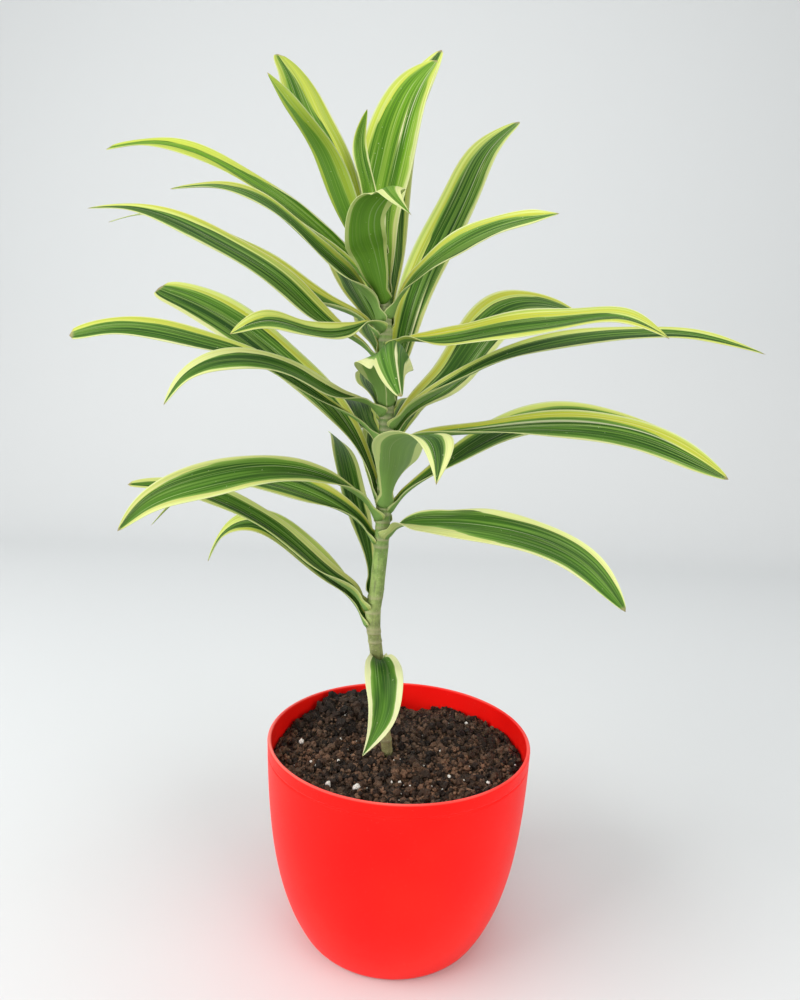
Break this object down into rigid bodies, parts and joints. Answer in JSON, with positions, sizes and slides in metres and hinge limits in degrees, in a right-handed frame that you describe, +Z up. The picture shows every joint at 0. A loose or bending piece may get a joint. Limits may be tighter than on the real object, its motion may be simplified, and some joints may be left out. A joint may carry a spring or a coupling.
{
  "type": "potted song of india",
  "caption": "Young song of india houseplant: arching green leaves with yellow-green margins round one thin cane, in dark soil in a round red plastic pot",
  "frame": {"origin": "centre of the pot's flat base, on the surface it stands on", "axes": "+Z up along the pot's axis, -Y towards the plant's show side, +X to the right seen from there"},
  "size_m": [0.3653, 0.2555, 0.4792],
  "materials": {
    "pot_plastic": "smooth semi-gloss red, moulded",
    "potting_soil": "damp dark crumbs of peat and bark with white perlite",
    "cane": "matt olive to grey-brown with pale leaf scars",
    "leaf": "satin, dark green centre with fine streaks, lime to cream margins",
    "young_leaf": "satin, brighter lime green with yellow margins"
  },
  "bodies": {
    "root": {"pot": "pot_plastic", "soil": "potting_soil", "stem": "cane", "leaf_01": "leaf", "leaf_02": "leaf", "leaf_03": "leaf", "leaf_04": "leaf", "leaf_05": "leaf", "leaf_06": "leaf", "leaf_07": "leaf", "leaf_08": "leaf", "leaf_09": "leaf", "leaf_10": "leaf", "leaf_11": "leaf", "leaf_12": "leaf", "leaf_13": "leaf", "leaf_14": "leaf", "leaf_15": "leaf", "leaf_16": "leaf", "leaf_17": "leaf", "leaf_18": "leaf", "leaf_19": "leaf", "leaf_20": "leaf", "leaf_21": "leaf", "leaf_22": "leaf", "leaf_23": "leaf", "leaf_24": "leaf", "leaf_25": "leaf", "leaf_26": "leaf", "leaf_27": "leaf", "leaf_28": "leaf", "leaf_29": "leaf", "leaf_30": "leaf", "leaf_31": "leaf", "leaf_32": "young_leaf", "leaf_33": "young_leaf", "leaf_34": "young_leaf", "leaf_35": "young_leaf", "leaf_36": "young_leaf", "leaf_37": "young_leaf"}
  },
  "joints": []
}
